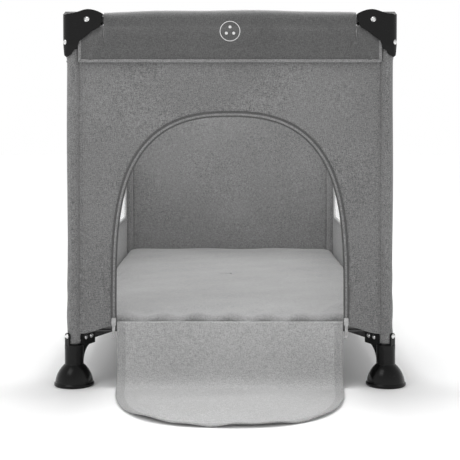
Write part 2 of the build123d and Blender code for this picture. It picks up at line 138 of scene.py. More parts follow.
def grid_faces(rows, cols, around=False, first=0):
    """Quads over a grid of points, closed into a tube if it goes around."""
    faces = []
    for r in range(rows - 1):
        for c in range(cols if around else cols - 1):
            d = (c + 1) % cols
            faces.append((first + r * cols + c, first + r * cols + d,
                          first + (r + 1) * cols + d, first + (r + 1) * cols + c))
    return faces


def make(name, patches, materials, thick=0.0, around=False):
    """An object from grids of points, one material per grid, given thickness if asked."""
    verts, faces, slots = [], [], []
    for index, patch in enumerate(patches):
        patch = np.asarray(patch, float)
        new = grid_faces(patch.shape[0], patch.shape[1], around, len(verts))
        verts.extend(patch.reshape(-1, 3))
        faces.extend(new)
        slots.extend([min(index, len(materials) - 1)] * len(new))
    mesh = bpy.data.meshes.new(name)
    mesh.from_pydata([tuple(v) for v in verts], [], faces)
    for material in materials:
        mesh.materials.append(material)
    mesh.polygons.foreach_set("material_index", slots)
    with editing(mesh) as bm:
        bmesh.ops.remove_doubles(bm, verts=bm.verts, dist=1e-5)
        if thick:
            bmesh.ops.recalc_face_normals(bm, faces=bm.faces)
    obj = new_object(name, mesh)
    if thick:
        layer = obj.modifiers.new("cloth", "SOLIDIFY")
        layer.thickness = thick
        layer.offset = 0
        bake(obj)
    mesh = obj.data
    mesh.polygons.foreach_set("use_smooth", [True] * len(mesh.polygons))
    return obj


def new_object(name, mesh):
    """An object in the scene with a given mesh."""
    made = bpy.data.objects.new(name, mesh)
    bpy.context.scene.collection.objects.link(made)
    return made


def bake(obj):
    """Apply an object's modifiers to its mesh."""
    deps = bpy.context.evaluated_depsgraph_get()
    mesh = bpy.data.meshes.new_from_object(obj.evaluated_get(deps))
    obj.modifiers.clear()
    obj.data = mesh
    mesh.name = obj.name


def regions(obj):
    """The material index of each face, and where its middle stands."""
    polygons = obj.data.polygons
    marks = np.array([p.material_index for p in polygons])
    return marks, np.array([p.center for p in polygons], float)


def cut(obj, parts, materials, closed=False):
    """Split a finished mesh into named parts by face, still shaded as one surface."""
    mesh = obj.data
    normals = np.array([v.vector for v in mesh.vertex_normals], float)
    made = []
    for name, chosen in parts:
        polygons = [mesh.polygons[i] for i in np.nonzero(chosen)[0]]
        used = sorted({v for p in polygons for v in p.vertices})
        index = {v: i for i, v in enumerate(used)}
        part = bpy.data.meshes.new(name)
        part.from_pydata([tuple(mesh.vertices[v].co) for v in used], [],
                         [[index[v] for v in p.vertices] for p in polygons])
        for material in materials:
            part.materials.append(material)
        count = len(materials)
        part.polygons.foreach_set("material_index", [p.material_index % count for p in polygons])
        part.polygons.foreach_set("use_smooth", [True] * len(part.polygons))
        if closed:
            close_ends(part)
        part.normals_split_custom_set_from_vertices([tuple(normals[v]) for v in used])
        made.append(new_object(name, part))
    bpy.data.objects.remove(obj)
    return made


def close_ends(mesh):
    """Fill the openings that a cut leaves in a closed mesh."""
    with editing(mesh) as bm:
        bmesh.ops.holes_fill(bm, edges=[e for e in bm.edges if e.is_boundary], sides=0)


def slice_mesh(obj, point, normal):
    """Add an edge loop where a plane crosses a mesh."""
    with editing(obj.data) as bm:
        geometry = bm.verts[:] + bm.edges[:] + bm.faces[:]
        bmesh.ops.bisect_plane(bm, geom=geometry, dist=1e-6, plane_co=point, plane_no=normal)


def strip(path, section, side, closed=False):
    """A band of the given cross-section (across, outward) along a path (x, z, outward) on a side."""
    path = np.asarray(path, float)
    if closed:
        way = np.roll(path, -1, axis=0) - np.roll(path, 1, axis=0)
    else:
        way = np.gradient(path, axis=0)
    way = way[:, :2] / np.maximum(np.linalg.norm(way[:, :2], axis=1), 1e-9)[:, None]
    across = np.stack([-way[:, 1], way[:, 0]], axis=1)
    rows = []
    for offset, lift in section:
        flat = path[:, :2] + across * offset
        rows.append(np.stack([flat[:, 0], -(path[:, 2] + lift), flat[:, 1]], axis=1))
    points = place(np.array(rows), side)
    if closed:
        points = np.concatenate([points, points[:, :1]], axis=1)
    return points


def stitches(name, path, side, offset, material, pitch=0.0042, length=0.003):
    """A row of small thread stitches along a path on a side."""
    path = np.asarray(path, float)
    run = np.concatenate([[0], np.cumsum(np.linalg.norm(np.diff(path, axis=0), axis=1))])
    starts = np.arange(0, run[-1] - length, pitch)
    patches = []
    for start in starts:
        spots = np.array([[np.interp(s, run, path[:, k]) for k in range(3)]
                          for s in np.linspace(start, start + length, 4)])
        swell = np.array([0.3, 1.0, 1.0, 0.3])[:, None]
        section = [(-0.0005, 0.0), (-0.0003, 0.0005), (0.0003, 0.0005), (0.0005, 0.0)]
        band = strip(spots, [(offset + a, b) for a, b in section], side)
        middle = strip(spots, [(offset, 0.0)], side)
        patches.append(middle + (band - middle) * swell[None, :, :])
    return make(name, patches, [material])


def finish_soft(piece, body, nodes=(), axis=None, anchor=None, keep=None, slot="wall_fabric"):
    """Tie a soft piece to its body and hide the CAD nodes that it stands for; a piece given an axis gets
    its own mesh.
    """
    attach(piece, body)
    if nodes:
        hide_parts(*nodes)
    if axis is not None:
        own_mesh(piece)
    return piece


def shape_of(node, name):
    """A new object with a CAD node's shape, where the node stands."""
    made = new_object(name, frame["nodes"][node].data.copy())
    made.data.transform(frame["nodes"][node].matrix_world)
    made.data.materials.clear()
    return made


def side_fold(side):
    """The axis, anchor and share kept for how a piece of one side would draw together when the frame
    folds.
    """
    if side in ("front", "rear"):
        return {"axis": (1, 0, 0), "anchor": (-POST_X, 0, 0), "keep": KEEP_X}
    return {"axis": (0, 1, 0), "anchor": (0, -POST_Y, 0), "keep": KEEP_Y}


# ---- Materials ----
class Nodes:
    """A material's nodes, with short ways to add and join them."""

    def __init__(self, name, roughness, metallic=0.0):
        self.material = bpy.data.materials.new(name)
        self.material.use_nodes = True
        self.tree = self.material.node_tree
        self.shader = self.tree.nodes["Principled BSDF"]
        self.shader.inputs["Roughness"].default_value = roughness
        self.shader.inputs["Metallic"].default_value = metallic
        self.coords = self.tree.nodes.new("ShaderNodeTexCoord").outputs["Object"]

    def node(self, kind, **settings):
        made = self.tree.nodes.new(kind)
        for key, value in settings.items():
            setattr(made, key, value)
        return made

    def link(self, source, target):
        self.tree.links.new(source, target)

    def noise(self, scale, stretch=(1, 1, 1), detail=2.0, rough=0.5):
        """Noise of a given fineness, drawn out along some axes."""
        mapping = self.node("ShaderNodeMapping")
        mapping.inputs["Scale"].default_value = stretch
        self.link(self.coords, mapping.inputs["Vector"])
        made = self.node("ShaderNodeTexNoise")
        made.inputs["Scale"].default_value = scale
        made.inputs["Detail"].default_value = detail
        made.inputs["Roughness"].default_value = rough
        self.link(mapping.outputs["Vector"], made.inputs["Vector"])
        return made.outputs["Fac"]

    def wave(self, pitch, axis):
        """Ribs of a given pitch across one axis."""
        made = self.node("ShaderNodeTexWave", wave_type="BANDS", bands_direction=axis)
        made.inputs["Scale"].default_value = 2 * pi / (20 * pitch)
        made.inputs["Distortion"].default_value = 0.6
        made.inputs["Detail Scale"].default_value = 40
        self.link(self.coords, made.inputs["Vector"])
        return made.outputs["Fac"]

    def sum(self, first, second, share=0.5, kind="MIX"):
        """Two values mixed, or worked together another way."""
        made = self.node("ShaderNodeMix", data_type="FLOAT")
        if kind != "MIX":
            made = self.node("ShaderNodeMath", operation=kind)
            self.link(first, made.inputs[0])
            self.link(second, made.inputs[1])
            return made.outputs[0]
        made.inputs["Factor"].default_value = share
        self.link(first, made.inputs[2])
        self.link(second, made.inputs[3])
        return made.outputs[0]

    def ramp(self, value, stops):
        """Colours or greys along a value."""
        made = self.node("ShaderNodeValToRGB")
        elements = made.color_ramp.elements
        while len(elements) < len(stops):
            elements.new(0.5)
        for element, (position, colour) in zip(elements, stops):
            element.position = position
            element.color = (*colour, 1) if hasattr(colour, "__len__") else (colour,) * 3 + (1,)
        self.link(value, made.inputs["Fac"])
        return made.outputs["Color"]

    def drive(self, socket, value, stops):
        """A shader's socket driven by a ramp along a value."""
        self.link(self.ramp(value, stops), self.shader.inputs[socket])

    def relief(self, height, distance, strength=1.0, normal=None):
        """Surface relief from a height."""
        made = self.node("ShaderNodeBump")
        made.inputs["Distance"].default_value = distance
        made.inputs["Strength"].default_value = strength
        self.link(height, made.inputs["Height"])
        if normal is not None:
            self.link(normal, made.inputs["Normal"])
        self.link(made.outputs["Normal"], self.shader.inputs["Normal"])
        return made.outputs["Normal"]


def woven(name, dark, light, weft, sheen=0.25, pitch=0.0011):
    """Melange cloth: dark and light yarns crossing, with a slub and a slight change of tone."""
    made = Nodes(name, 0.85)
    along = {"X": (0.16, 1, 1), "Y": (1, 0.16, 1), "Z": (1, 1, 0.16)}
    other = {"X": "Z", "Y": "Z", "Z": "X"}[weft]
    yarns = made.sum(made.noise(760, along[weft]), made.noise(760, along[other]))
    flecks = made.sum(yarns, made.noise(620, detail=2.0), 0.5)
    tone = made.sum(flecks, made.noise(5.5, detail=3.0), 0.10)
    middle = [(a + b) / 2 for a, b in zip(dark, light)]
    made.drive("Base Color", tone, [(0.41, dark), (0.5, middle), (0.59, light)])
    ribs = made.sum(made.wave(pitch, weft), made.wave(pitch, other), kind="MULTIPLY")
    made.relief(made.sum(ribs, flecks, 0.6), 0.00035, 0.6)
    made.shader.inputs["Sheen Weight"].default_value = sheen
    made.shader.inputs["Sheen Roughness"].default_value = 0.6
    made.shader.inputs["Specular IOR Level"].default_value = 0.25
    return made.material


def grey(value, warm=0.0):
    """A near-neutral colour."""
    return (value * (1 + warm), value, value * (1 - warm))


def moulded(name, base, roughness, grain=0.00008):
    """Moulded plastic, with rounded edges that wear lighter, fine grain and handling marks."""
    made = Nodes(name, roughness)
    rounded = made.node("ShaderNodeBevel", samples=6)
    rounded.inputs["Radius"].default_value = 0.0016
    geometry = made.node("ShaderNodeNewGeometry")
    turn = made.node("ShaderNodeVectorMath", operation="DOT_PRODUCT")
    made.link(rounded.outputs["Normal"], turn.inputs[0])
    made.link(geometry.outputs["Normal"], turn.inputs[1])
    marks = made.noise(90, (1, 1, 3), 4.0)
    worn = made.sum(turn.outputs["Value"], marks, kind="MULTIPLY")
    light = tuple(c * 2.2 + 0.006 for c in base)
    made.drive("Base Color", worn, [(0.20, light), (0.32, base), (1.0, base)])
    made.drive("Roughness", marks, [(0.3, roughness * 0.8), (0.7, min(1, roughness * 1.35))])
    made.relief(made.noise(900, detail=2.0), grain, 0.5, rounded.outputs["Normal"])
    made.shader.inputs["Specular IOR Level"].default_value = 0.22
    return made.material


def painted(name, base, top, roughness):
    """Powder-coated tube: fine orange peel, scuffs in its roughness, and a painted highlight that turns
    the colour to the top grey where it faces up.
    """
    made = Nodes(name, roughness)
    geometry = made.node("ShaderNodeNewGeometry")
    split = made.node("ShaderNodeSeparateXYZ")
    made.link(geometry.outputs["Normal"], split.inputs[0])
    scuffs = made.noise(60, (1, 1, 4), 4.0)
    # Painted highlight: the colour goes from base to top where the surface faces up, broken a little by
    # the scuff noise.
    painted_top_highlight = made.sum(split.outputs["Z"], scuffs, 0.12)
    made.drive("Base Color", painted_top_highlight, [(0.55, base), (0.8, top)])
    made.drive("Roughness", scuffs, [(0.3, roughness), (0.7, roughness * 1.4)])
    made.relief(made.noise(450, detail=2.0), 0.00012, 0.5)
    return made.material


def bright(name, base, roughness):
    """Plated metal with fine turning marks and a little dulling."""
    made = Nodes(name, roughness, metallic=1.0)
    dull = made.noise(140, detail=4.0)
    made.drive("Base Color", dull, [(0.3, base), (0.75, tuple(c * 0.7 for c in base))])
    made.drive("Roughness", dull, [(0.3, roughness), (0.8, roughness * 2.2)])
    made.relief(made.noise(1400, detail=1.0), 0.00003, 0.4)
    return made.material


def net(name, colour, across):
    """Knitted net: crossing threads with see-through holes between them."""
    made = Nodes(name, 0.7)
    threads = made.sum(made.wave(0.0026, across), made.wave(0.0026, "Z"), kind="MAXIMUM")
    solid = made.ramp(threads, [(0.78, 0.0), (0.90, 1.0)])
    open_mix = made.node("ShaderNodeMixShader")
    clear = made.node("ShaderNodeBsdfTransparent")
    made.link(solid, open_mix.inputs[0])
    made.link(clear.outputs[0], open_mix.inputs[1])
    made.link(made.shader.outputs[0], open_mix.inputs[2])
    made.link(open_mix.outputs[0], made.tree.nodes["Material Output"].inputs["Surface"])
    made.drive("Base Color", made.noise(300), [(0.3, grey(colour * 0.85)), (0.7, grey(colour))])
    made.relief(threads, 0.0004, 0.7)
    made.shader.inputs["Sheen Weight"].default_value = 0.3
    return made.material


def zip_teeth(name):
    """Woven tape carrying fine coil teeth."""
    made = Nodes(name, 0.55)
    coil = made.sum(made.wave(0.0022, "X"), made.wave(0.0022, "Z"), kind="MAXIMUM")
    tone = made.sum(coil, made.noise(260, detail=3.0), 0.5)
    made.drive("Base Color", tone, [(0.35, grey(0.025)), (0.75, grey(0.11))])
    made.relief(coil, 0.0005, 0.8)
    return made.material


WALL = {axis: woven(f"wall_cloth_{axis}", grey(0.095), grey(0.255), axis) for axis in ("X", "Y")}
COVER = {axis: woven(f"cover_cloth_{axis}", grey(0.030), grey(0.092), axis, sheen=0.9)
         for axis in ("X", "Y")}
SLEEVE = woven("sleeve_cloth", grey(0.09), grey(0.25), "Z")
PIPING = woven("piping_cloth", grey(0.13), grey(0.30), "X", pitch=0.0008)
BINDING = woven("binding_cloth", grey(0.30), grey(0.50), "X", pitch=0.0008)
MATTRESS = woven("mattress_cloth", grey(0.13), grey(0.29), "Y")
FLAP = woven("flap_cloth", grey(0.29), grey(0.52), "X")
FLAP_EDGE = woven("flap_binding_cloth", grey(0.24), grey(0.42), "Y")
UNDERSIDE = woven("base_cloth", grey(0.05), grey(0.10), "Y", sheen=0.1)
NET = {axis: net(f"window_net_{axis}", 0.95, axis) for axis in ("X", "Y")}
THREAD = woven("sewing_thread", grey(0.10), grey(0.22), "Z", pitch=0.0006)
TEETH = zip_teeth("zip_teeth")
WHITE_PRINT = woven("badge_print", grey(0.62), grey(0.82), "X", sheen=0.0, pitch=0.0007)
CAP_BLACK = moulded("cap_black", grey(0.003), 0.30)
FOOT_BLACK = moulded("foot_black", grey(0.003), 0.20)
HUB_BLACK = moulded("hub_black", grey(0.015), 0.42)
BUTTON_GREY = moulded("button_grey", grey(0.12), 0.4)
# The second grey of each paint is a painted highlight on its upward faces; the bars' light top stands in
# for the lamps' reflection on black paint.
TUBE_PAINT = painted("tube_paint", grey(0.06), grey(0.09), 0.35)
BAR_PAINT = painted("bar_paint", grey(0.010), grey(0.62), 0.30)
CHROME = bright("rivet_chrome", grey(0.80), 0.14)
NICKEL = bright("slider_nickel", grey(0.42), 0.26)

NODE_MATERIALS = {
    "corner_cap_": CAP_BLACK,
    "foot_": FOOT_BLACK,
    "corner_fasteners_": CHROME,
    "post_": TUBE_PAINT,
    "half_rail_": TUBE_PAINT,
    "base_bar_": BAR_PAINT,
    "hub_pins": CHROME,
    "hub": HUB_BLACK,
    "latch_button_": BUTTON_GREY,
    "latch_": HUB_BLACK,
    "zip_slider_": NICKEL,
}


def dress_cad_nodes():
    """Give each hard CAD piece its own material."""
    for name, obj in frame["nodes"].items():
        found = [m for prefix, m in NODE_MATERIALS.items() if name.startswith(prefix)]
        if found:
            obj.data.materials.clear()
            obj.data.materials.append(found[0])


# ---- Outlines ----
def evenly(path, count):
    """A path's points, spaced evenly along it."""
    path = np.asarray(path, float)
    run = np.concatenate([[0], np.cumsum(np.linalg.norm(np.diff(path, axis=0), axis=1))])
    spots = np.linspace(0, run[-1], count)
    return np.stack([np.interp(spots, run, path[:, k]) for k in range(path.shape[1])], axis=1)


def superellipse(half, tall, count=97):
    """The door's outline from its lower right corner over the top to its lower left."""
    turns = np.linspace(0, pi, 4001)
    c, s = np.cos(turns), np.abs(np.sin(turns))
    return evenly(np.stack([half * np.sign(c) * np.abs(c) ** 0.8, tall * s ** 0.55], axis=1), count)


def window_loops(half, low, high, corner, outer_half, outer_low, outer_high):
    """Matching closed loops: a window's rounded outline, and the wall's own edge around it."""
    inner, outer = [], []
    straight = np.linspace(0, 1, 26)[1:-1, None]
    for sx, sz, start in ((1, 1, 0), (-1, 1, 90), (-1, -1, 180), (1, -1, 270)):
        centre = np.array([sx * (half - corner), high - corner if sz > 0 else low + corner])
        turns = np.radians(np.linspace(start, start + 90, 9))
        inner.append(centre + corner * np.stack([np.cos(turns), np.sin(turns)], axis=1))
        edge = np.array([sx * outer_half, outer_high if sz > 0 else outer_low])
        first = [edge[0], centre[1]] if start % 180 == 0 else [centre[0], edge[1]]
        last = [centre[0], edge[1]] if start % 180 == 0 else [edge[0], centre[1]]
        share = np.linspace(0, 1, 5)[:, None]
        rise = np.array(first) * (1 - share) + edge * share
        run = edge * (1 - share) + np.array(last) * share
        outer.append(np.concatenate([rise, run[1:]]))
    loops = []
    for corners in (inner, outer):
        whole = []
        for index, arc in enumerate(corners):
            nxt = corners[(index + 1) % 4]
            whole.extend([arc, arc[-1] * (1 - straight) + nxt[0] * straight])
        loops.append(np.concatenate(whole))
    return loops


# ---- Fabric walls ----
WALL_TOP = WALL_HIGH[2]
WALL_FOOT = WALL_LOW[2]
WALL_MIDDLE = (WALL_OUT + WALL_IN) / 2
SEAM = 0.003                                  # how far a wall's edge runs into its post sleeve
SEAM_STITCH_IN = 0.0055                       # a post seam's stitches, from its ridge
HEM_ROWS = (0.004, 0.0115)                    # the two rows of stitches above a wall's lower edge
CLOTH = 0.0022
WAIST = {side: HALF_SPAN[side] - SLEEVE_RADIUS + SEAM for side in HALF_SPAN}


def drape(x, z, half):
    """How far a hanging wall stands off its plane: slack waves between taut edges."""
    slack = np.sin(pi * np.clip((x / half + 1) / 2, 0, 1)) ** 0.7
    waves = 0.0008 * np.sin(9.0 * x + 3.0 * z) + 0.0006 * np.sin(21.0 * z - 7.0 * x + 0.6)
    pulls = 0.0005 * np.sin(260 * (z + 0.25 * np.abs(x))) * smooth(np.abs(x), half - 0.09, half)
    return slack * waves + pulls * bump(z, WALL_FOOT + 0.05, 0.09)


def front_hem(x):
    """The front wall's lower edge, which rises from the posts to the door."""
    return WALL_FOOT - 0.003 + 0.016 * smooth(POST_X - np.abs(x), SLEEVE_RADIUS, 0.085)


def front_lift(x, z):
    """The front wall's outward place, puckered beside the lower door and thick at its hem."""
    gap = np.abs(x) - ARCH_HALF * np.clip(1 - ((z - DOOR_Z) / ARCH_TALL) ** 4, 0, 1) ** 0.4
    beside = bump(gap, 0.012, 0.018) * bump(z, DOOR_Z + 0.075, 0.085)
    puckers = 0.0011 * np.sin(z * 2 * pi / 0.0145 + 14 * np.abs(x)) * beside
    hem = 0.0009 * (1 - smooth(z, front_hem(x) + 0.012, front_hem(x) + 0.015))
    return WALL_MIDDLE + drape(x, z, POST_X) + puckers + hem


def front_wall():
    """The end wall with its arched doorway."""
    half = WAIST["front"]
    arch = superellipse(ARCH_HALF, ARCH_TALL) + (0, DOOR_Z)
    count = len(arch)
    angle = np.arctan2(arch[:, 1] - DOOR_Z, arch[:, 0])
    corner = int(np.searchsorted(angle, np.arctan2(WALL_TOP - DOOR_Z, half)))
    side = np.linspace(DOOR_Z, WALL_TOP, corner + 1)
    across = np.linspace(half, -half, count - 2 * corner)
    outer = np.concatenate([
        np.stack([np.full(corner, half), side[:-1]], axis=1),
        np.stack([across, np.full(len(across), WALL_TOP)], axis=1),
        np.stack([np.full(corner, -half), side[-2::-1]], axis=1),
    ])
    shares = np.linspace(0, 1, 23) ** 1.25
    flat = arch[None] * (1 - shares[:, None, None]) + outer[None] * shares[:, None, None]
    around = np.stack([flat[..., 0], -front_lift(flat[..., 0], flat[..., 1]), flat[..., 1]], axis=-1)
    right = ARCH_HALF * (1 - shares) + half * shares
    xs = np.concatenate([-right[::-1], np.linspace(-ARCH_HALF, ARCH_HALF, 31)[1:-1], right])
    drop = np.linspace(1, 0, 10)[:, None]
    z = front_hem(xs)[None] * (1 - drop) + DOOR_Z * drop
    below = np.stack([xs[None] + 0 * z, -front_lift(xs[None] + 0 * z, z), z], axis=-1)
    wall = make("front_wall_cloth", [place(around, "front"), place(below, "front")],
                [WALL["X"]], thick=CLOTH)
    finish_soft(wall, "corner_front_left", ["front_wall"], **side_fold("front"))
    for side_x in (-1, 1):
        xs = side_x * np.linspace(ARCH_HALF + 0.004, half - 0.006, 24)
        for rise in HEM_ROWS:
            z = front_hem(xs) + rise
            seam = np.column_stack([xs, z, front_lift(xs, z) + CLOTH / 2])
            tie_seam(f"front_hem_stitch_{side_name(side_x)}_{int(rise * 1e4)}", seam, "front", 0)
        post_seam(side_x, "front", front_lift)


def side_name(side_x):
    """The word for a side of the object seen from the door end."""
    return "left" if side_x < 0 else "right"


def tie_seam(name, path, side, offset):
    """A row of stitches that goes with a side's wall."""
    seam = stitches(name, path, side, offset, THREAD)
    finish_soft(seam, SIDE_BODY[side], **side_fold(side))


def post_seam(side_x, side, lift):
    """The seam beside a post: a raised ridge and its stitches."""
    z = np.linspace(WALL_FOOT + 0.004, WALL_TOP, 60)
    x = np.full(60, side_x * (WAIST[side] - SEAM - 0.0035))
    path = np.column_stack([x, z, lift(x, z) + CLOTH / 2 - 0.0003])
    section = [(-0.0022, 0), (-0.0014, 0.0010), (0, 0.0014), (0.0014, 0.0010), (0.0022, 0)]
    ridge = make(f"{side}_seam_ridge_{side_name(side_x)}", [strip(path, section, side)], [SLEEVE])
    finish_soft(ridge, SIDE_BODY[side], **side_fold(side))
    tie_seam(f"{side}_seam_stitch_{side_name(side_x)}", path, side, SEAM_STITCH_IN * side_x)


def plain_lift(side):
    """The outward place of a wall with no door."""
    def lift(x, z):
        hem = 0.0009 * (1 - smooth(z, WALL_FOOT + 0.012, WALL_FOOT + 0.015))
        return WALL_MIDDLE + drape(x, z, HALF_SPAN[side]) + hem
    return lift


def rear_wall():
    """The closed end wall."""
    half, lift = WAIST["rear"], plain_lift("rear")
    x, z = np.meshgrid(np.linspace(-half, half, 70), np.linspace(WALL_FOOT, WALL_TOP, 64))
    points = np.stack([x, -lift(x, z), z], axis=-1)
    wall = make("rear_wall_cloth", [place(points, "rear")], [WALL["X"]], thick=CLOTH)
    finish_soft(wall, "corner_rear_left", ["rear_wall"], **side_fold("rear"))
    for side_x in (-1, 1):
        post_seam(side_x, "rear", lift)
    hems("rear", half, lift)


def hems(side, half, lift):
    """Two rows of stitches along a wall's lower hem."""
    xs = np.linspace(-half + 0.008, half - 0.008, 90)
    for rise in HEM_ROWS:
        z = np.full(90, WALL_FOOT + rise)
        seam = np.column_stack([xs, z, lift(xs, z) + CLOTH / 2])
        tie_seam(f"{side}_hem_stitch_{int(rise * 1e4)}", seam, side, 0)


def side_wall(side):
    """A side wall with its net window and the window's bound edge."""
    half, lift = WAIST[side], plain_lift(side)
    corner = 0.025
    window = (WINDOW_HIGH[1], WINDOW_LOW[2], WINDOW_HIGH[2], corner)
    inner, outer = window_loops(*window, half, WALL_FOOT, WALL_TOP)
    shares = np.linspace(0, 1, 15)[:, None, None]
    flat = inner[None] * (1 - shares) + outer[None] * shares
    points = np.stack([flat[..., 0], -lift(flat[..., 0], flat[..., 1]), flat[..., 1]], axis=-1)
    wall = make(f"{side}_wall_cloth", [place(points, side)], [WALL["Y"]], thick=CLOTH, around=True)
    finish_soft(wall, SIDE_BODY[side], [f"{side}_wall"], **side_fold(side))
    shares = np.linspace(0, 1.003, 26)[:, None, None]
    middle = np.array([0, (window[1] + window[2]) / 2])
    spine = np.stack([np.clip(inner[:, 0], -half + 0.25, half - 0.25),
                      np.full(len(inner), middle[1])], axis=1)
    flat = spine[None] * (1 - shares) + inner[None] * shares
    sag = 0.0015 * np.sin(7 * flat[..., 0] + 2) * np.sin(pi * np.clip(shares[..., 0], 0, 1))
    points = np.stack([flat[..., 0], -(WALL_MIDDLE + sag), flat[..., 1]], axis=-1)
    mesh = make(f"{side}_window_cloth", [place(points, side)], [NET["Y"]], around=True)
    finish_soft(mesh, SIDE_BODY[side], [f"{side}_window_mesh"], slot="window_net", **side_fold(side))
    for face, name in ((1, "outer"), (-1, "inner")):
        depth = lift(inner[:, 0], inner[:, 1]) + face * CLOTH / 2
        path = np.column_stack([inner, depth])
        section = [(0.0015, -0.0012), (0.0018, 0.0008), (0.0, 0.0016), (-0.0045, 0.0014), (-0.0075, 0.0)]
        band = strip(path, [(a, face * b) for a, b in section], side, closed=True)
        edge = make(f"{side}_window_binding_{name}", [band], [BINDING])
        finish_soft(edge, SIDE_BODY[side], slot="window_net", **side_fold(side))
    loop = np.column_stack([inner, lift(inner[:, 0], inner[:, 1]) + CLOTH / 2 + 0.0014])
    tie_seam(f"{side}_window_stitch", loop, side, -0.0035)
    for side_x in (-1, 1):
        post_seam(side_x, side, lift)
    hems(side, half, lift)


def post_sleeves():
    """The soft sleeves round the four posts, slightly creased, with a roll at the foot."""
    low, high = SLEEVE_LOW[2], SLEEVE_HIGH[2]
    turns = np.linspace(0, 2 * pi, 41)[:-1]
    for corner, (side_x, side_y) in CORNERS.items():
        z = np.linspace(low, high, 110)[:, None] + 0 * turns
        a = turns[None] + 0 * z
        crease = 0.0007 * np.sin(95 * z + 2 * np.sin(2 * a)) * bump(z, low + 0.04, 0.09)
        slack = 0.0005 * np.sin(17 * z + a * 2 + side_x) + 0.0008 * bump(z, low + 0.004, 0.006)
        radius = SLEEVE_RADIUS - 0.0012 + crease + slack
        points = np.stack([side_x * POST_X + radius * np.cos(a),
                           side_y * POST_Y + radius * np.sin(a), z], axis=-1)
        sleeve = make(f"sleeve_cloth_{corner}", [points], [SLEEVE], thick=0.0016, around=True)
        finish_soft(sleeve, f"corner_{corner}", [f"post_sleeve_{corner}"], slot="sleeve_fabric")


# ---- Door: zip around the arch, and the open flap ----
def door_zip():
    """The zip's tape and teeth, with a light piping between them, around the doorway."""
    arch = superellipse(ARCH_HALF, ARCH_TALL, 161) + (0, DOOR_Z)
    path = np.column_stack([arch, front_lift(arch[:, 0], arch[:, 1]) + CLOTH / 2])
    outer = [(-0.0020, -0.0006), (-0.0014, 0.0009), (0.0016, 0.0010), (0.0026, 0.0004)]
    piping = [(0.0026, 0.0004), (0.0034, 0.0018), (0.0050, 0.0023), (0.0064, 0.0018), (0.0072, 0.0004)]
    inner = [(0.0072, 0.0004), (0.0078, 0.0012), (0.0098, 0.0010), (0.0104, -0.0010), (0.0098, -0.0026)]
    ring = make("door_zip_trim", [strip(path, part, "front") for part in (outer, piping, inner)],
                [TEETH, PIPING, TEETH])
    finish_soft(ring, "corner_front_left", ["door_zip"], slot="zip_tape", **side_fold("front"))
    tie_seam("door_zip_stitch", path, "front", -0.0036)


def zip_sliders():
    """The two sliders' pulls, each tied to its slider."""
    for side in ("left", "right"):
        pull = shape_of(f"zip_slider_{side}", f"zip_pull_{side}")
        pull.data.materials.append(NICKEL)
        finish_soft(pull, f"zip_slider_{side}", [f"zip_slider_{side}"], slot="slider_metal",
                    **side_fold("front"))


BINDING_WIDTH = 0.017                         # the flap's bound edge
FLAP_GAP = 0.0115                             # the zip's outside to the flap's edge
FLAP_HALF = ARCH_HALF - FLAP_GAP
FLAP_LONG = ARCH_TALL - FLAP_GAP
HINGE = hinge_place("door_swing")
FLAP_THICK = 0.0022
ROUNDED_SHARE = 0.83                          # what the rounded far length fills of its rectangle


def flap_line():
    """The open flap's bend: its radius, and where along the flap it starts and ends."""
    first, second = hinge_place("door_bend_straighten"), hinge_place("door_tip_straighten")
    chord = np.linalg.norm((second - first)[1:])
    radius = chord / (2 * sin(radians(22.5)))
    start = DOOR_Z - radius - FLAP_LOW[2] - FLAP_THICK / 2
    return radius, start, start + radius * pi / 2


def lay_flap(flat):
    """Carry flat points (across, along, off the cloth) onto the open flap's line."""
    radius, start, end = flap_line()
    x, s, lift = flat[:, 0], flat[:, 1], flat[:, 2]
    turn = np.clip((s - start) / radius, 0, pi / 2)
    drop = np.minimum(s, start)
    run = np.maximum(s - end, 0)
    front = HINGE[1] + POST_Y - FLAP_THICK / 2
    y = front - radius * (1 - np.cos(turn)) - run
    z = DOOR_Z - drop - radius * np.sin(turn)
    return place(np.stack([x, y - lift * np.cos(turn), z + lift * np.sin(turn)], axis=1), "front")


